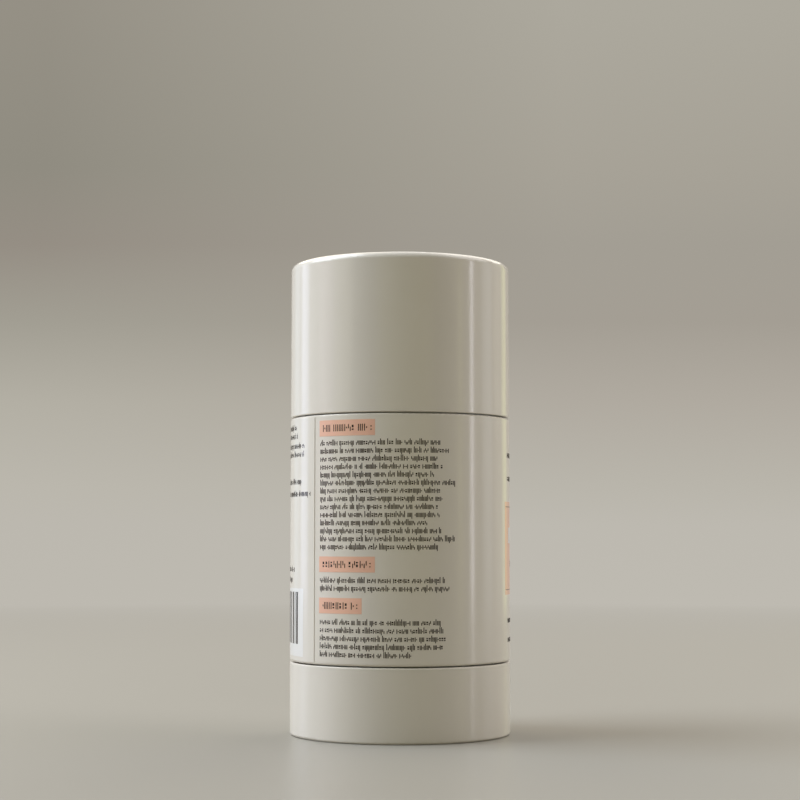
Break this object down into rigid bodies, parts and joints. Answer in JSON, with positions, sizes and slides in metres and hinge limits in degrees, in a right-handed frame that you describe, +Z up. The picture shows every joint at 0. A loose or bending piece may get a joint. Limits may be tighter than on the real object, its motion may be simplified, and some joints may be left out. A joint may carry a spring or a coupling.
{
  "type": "deodorant stick",
  "caption": "Round twist-up deodorant stick: double-walled white pack with push-on cap, wrap-round label and a dial that raises the cast stick by a lead screw.",
  "frame": {"origin": "centre of the foot, on the surface that the pack stands on", "axes": "+Z up along the pack's axis, through the cap; the pictured side of the label faces -Y"},
  "size_m": [0.05, 0.05, 0.1066],
  "materials": {
    "shell_plastic": "satin gloss, warm off-white moulded polypropylene",
    "inner_plastic": "plain moulded natural white",
    "label_film": "smooth printed film",
    "screw_plastic": "plain moulded, slightly translucent white",
    "stick_product": "waxy cast cream",
    "tag_ink": "flat peach print under the film's gloss",
    "text_ink": "flat dark brown print under the film's gloss",
    "patch_ink": "flat white print under the film's gloss"
  },
  "bodies": {
    "barrel": {"barrel_sleeve": "shell_plastic", "label_film": "label_film", "inner_tube": "inner_plastic"},
    "dial": {"dial_shell": "shell_plastic", "dial_core": "inner_plastic", "spindle": "screw_plastic"},
    "stick": {"platform": "screw_plastic", "deodorant_stick": "stick_product"},
    "cap": {"cap_shell": "shell_plastic", "cap_liner": "inner_plastic"}
  },
  "joints": [
    {"name": "dial_turn", "type": "hinge", "parent": "barrel", "child": "dial", "pos_m": [0, 0, 0.01], "axis": [0, 0, -1], "range_deg": [0, 1800]},
    {"name": "stick_rise", "type": "slide", "parent": "barrel", "child": "stick", "axis": [0, 0, 1], "range_m": [0, 0.0225]},
    {"name": "cap_pull", "type": "slide", "parent": "barrel", "child": "cap", "axis": [0, 0, 1], "range_m": [0, 0.045]}
  ],
  "couplings": [
    {"joint": "stick_rise", "follows": "dial_turn", "m_per_rad": 0.0007162}
  ]
}
